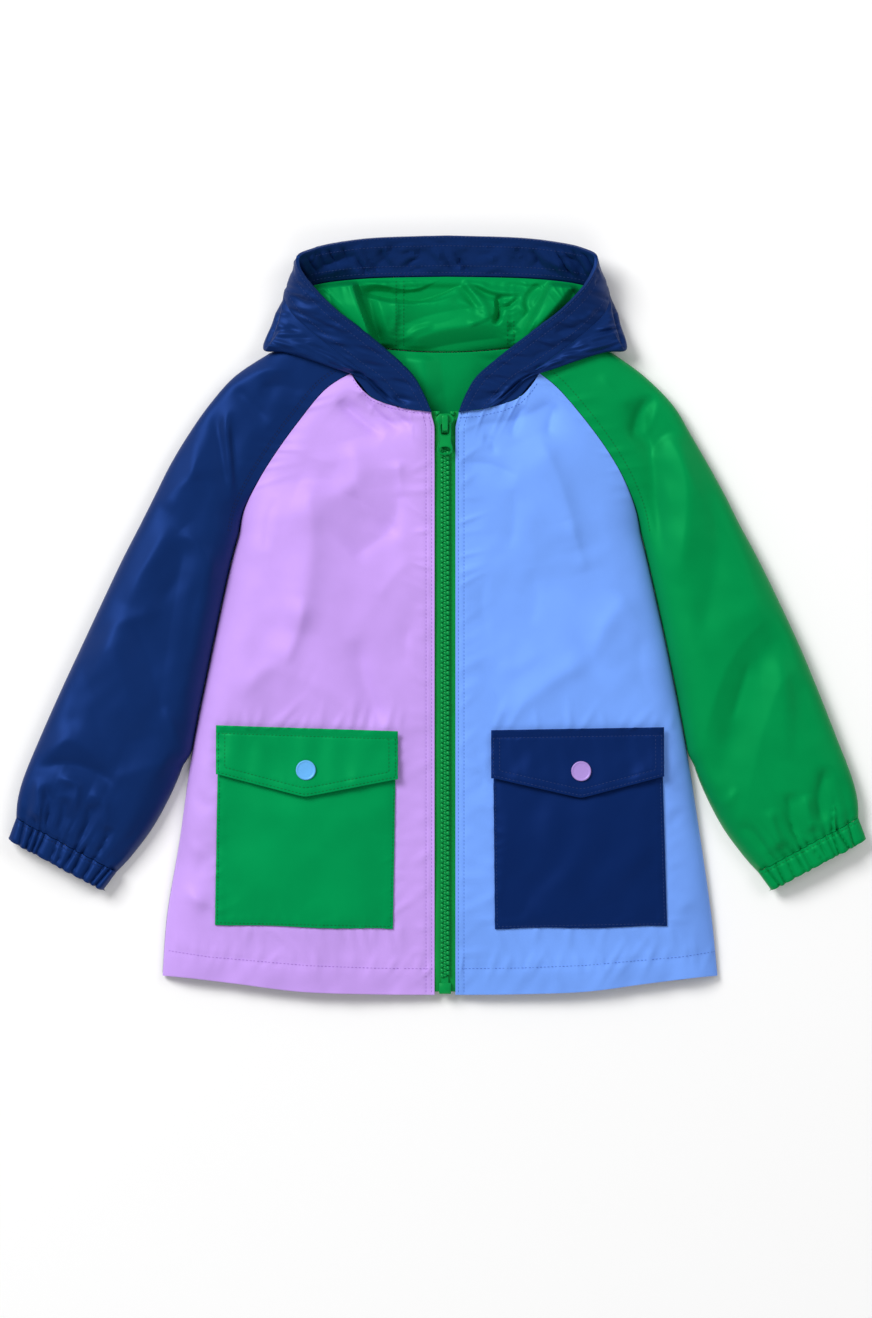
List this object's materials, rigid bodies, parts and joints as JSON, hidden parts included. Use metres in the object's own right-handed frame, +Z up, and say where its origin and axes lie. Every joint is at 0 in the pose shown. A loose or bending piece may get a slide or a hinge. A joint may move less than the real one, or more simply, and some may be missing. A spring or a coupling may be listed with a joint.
{
  "type": "rain jacket",
  "caption": "Small child's hooded colour-block rain jacket, laid flat and zipped, with raglan sleeves, gathered cuffs, flap pockets and a zip pull that turns.",
  "frame": {"origin": "on the surface the jacket lies on, under the middle of the back, on the zip line", "axes": "+X to the wearer's left, +Y from the hem to the hood, +Z up, away from the surface"},
  "size_m": [0.6016, 0.5317, 0.0318],
  "materials": {
    "shell_lilac": "coated woven, soft satin sheen",
    "shell_blue": "coated woven, soft satin sheen",
    "shell_navy": "coated woven, soft satin sheen",
    "shell_green": "coated woven, soft satin sheen",
    "lining_green": "smooth lining with a satin sheen",
    "pocket_green": "coated woven, soft satin sheen",
    "pocket_navy": "coated woven, soft satin sheen",
    "zip_tape": "woven tape, matt",
    "zip_plastic": "moulded plastic",
    "snap_blue": "moulded plastic",
    "snap_lilac": "moulded plastic"
  },
  "bodies": {
    "jacket": {"front_right": "shell_lilac", "front_left": "shell_blue", "back": "shell_navy", "back_lining": "lining_green", "sleeve_right": "shell_navy", "sleeve_left": "shell_green", "cuff_right": "shell_navy", "cuff_left": "shell_green", "hood_band": "shell_navy", "hood_side_right": "shell_navy", "hood_side_left": "shell_navy", "hood_centre": "shell_navy", "hood_lining": "lining_green", "pocket_right": "pocket_green", "flap_right": "pocket_green", "pocket_left": "pocket_navy", "flap_left": "pocket_navy", "snap_right": "snap_blue", "snap_left": "snap_lilac", "zip_tape_right": "zip_tape", "zip_tape_left": "zip_tape", "zip_chain": "zip_plastic", "zip_box": "zip_plastic", "zip_stop_right": "zip_plastic", "zip_stop_left": "zip_plastic", "zip_slider": "zip_plastic"},
    "pull_tab": {"zip_pull": "zip_plastic"}
  },
  "joints": [
    {"name": "pull_tab_hinge", "type": "hinge", "parent": "jacket", "child": "pull_tab", "pos_m": [0, 0.1348, 0.02034], "axis": [-1, 0, 0], "range_deg": [0, 165]}
  ]
}
